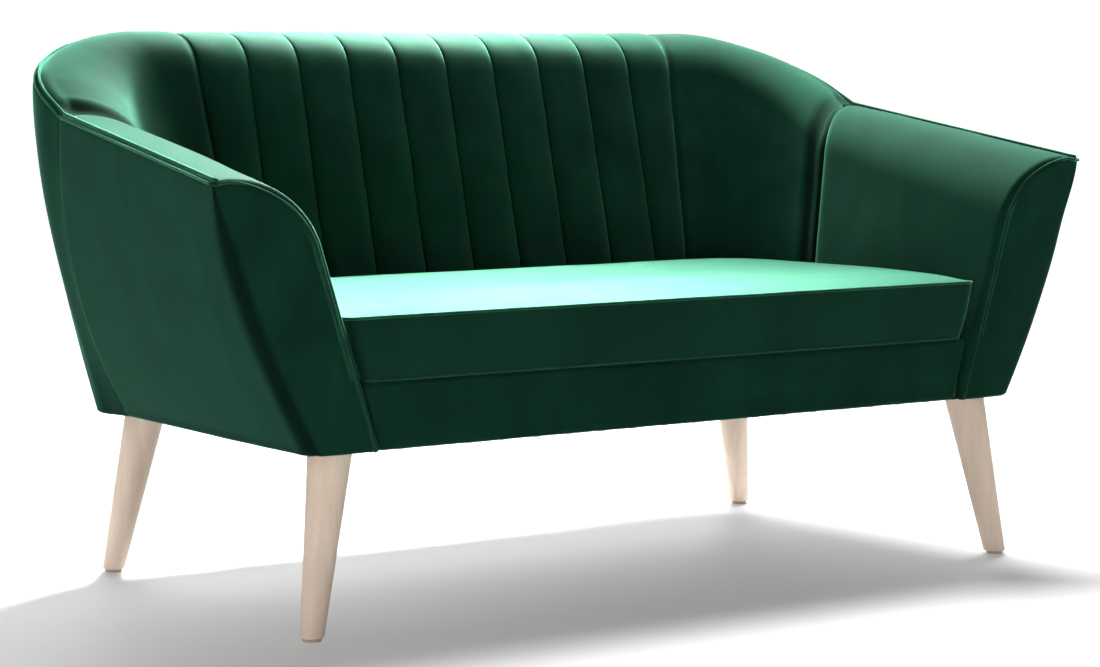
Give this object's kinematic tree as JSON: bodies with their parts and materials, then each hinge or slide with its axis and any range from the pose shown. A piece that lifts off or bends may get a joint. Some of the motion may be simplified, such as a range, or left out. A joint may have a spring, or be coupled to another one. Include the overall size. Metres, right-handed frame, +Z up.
{
  "type": "two-seat sofa",
  "caption": "Two-seat tub sofa with splayed arms, a vertically channelled back, a loose box cushion and splayed round wooden legs.",
  "frame": {"origin": "on the floor under the middle of the overall box", "axes": "+X to the right seen from the front, along the seat; the front faces -Y; +Z up"},
  "size_m": [1.399, 0.71, 0.757],
  "materials": {
    "green_velvet": "short-pile velvet with a soft sheen",
    "beech": "clear matt lacquer",
    "frame_pine": "sawn and planed",
    "plywood": "sanded",
    "foam": "open-cell foam",
    "steel": "zinc plated",
    "felt": "needled felt",
    "dust_cloth": "non-woven cloth",
    "nylon": "moulded"
  },
  "bodies": {
    "sofa": {"arm_board_left": "plywood", "arm_board_right": "plywood", "arm_front_panel_left": "green_velvet", "arm_front_panel_right": "green_velvet", "arm_inner_pad_left": "green_velvet", "arm_inner_pad_right": "green_velvet", "arm_outer_cover_left": "green_velvet", "arm_outer_cover_right": "green_velvet", "back_channel_01": "green_velvet", "back_channel_02": "green_velvet", "back_channel_03": "green_velvet", "back_channel_04": "green_velvet", "back_channel_05": "green_velvet", "back_channel_06": "green_velvet", "back_channel_07": "green_velvet", "back_channel_08": "green_velvet", "back_channel_09": "green_velvet", "back_channel_10": "green_velvet", "back_corner_pad_left": "green_velvet", "back_corner_pad_right": "green_velvet", "back_corner_rib_left": "plywood", "back_corner_rib_right": "plywood", "back_post_left": "frame_pine", "back_post_right": "frame_pine", "back_top_rail": "frame_pine", "dust_cloth": "dust_cloth", "leg_block_front_left": "frame_pine", "leg_block_front_right": "frame_pine", "leg_block_rear_left": "frame_pine", "leg_block_rear_right": "frame_pine", "leg_bolt_front_left": "steel", "leg_bolt_front_right": "steel", "leg_bolt_rear_left": "steel", "leg_bolt_rear_right": "steel", "leg_front_left": "beech", "leg_front_right": "beech", "leg_glide_front_left": "nylon", "leg_glide_front_right": "nylon", "leg_glide_rear_left": "nylon", "leg_glide_rear_right": "nylon", "leg_rear_left": "beech", "leg_rear_right": "beech", "outer_back_cover": "green_velvet", "seat_front_cover": "green_velvet", "seat_rail_front": "frame_pine", "seat_rail_left": "frame_pine", "seat_rail_rear": "frame_pine", "seat_rail_right": "frame_pine", "seat_spring_1": "steel", "seat_spring_2": "steel", "seat_spring_3": "steel", "seat_spring_4": "steel", "seat_spring_5": "steel", "seat_spring_6": "steel", "seat_stretcher": "frame_pine", "spring_felt": "felt"},
    "seat_cushion": {"seat_cushion_cover": "green_velvet", "seat_cushion_foam": "foam"}
  },
  "joints": [
    {"name": "seat_cushion_lift", "type": "slide", "parent": "sofa", "child": "seat_cushion", "axis": [0, 0, 1], "range_m": [0, 0.4]}
  ]
}
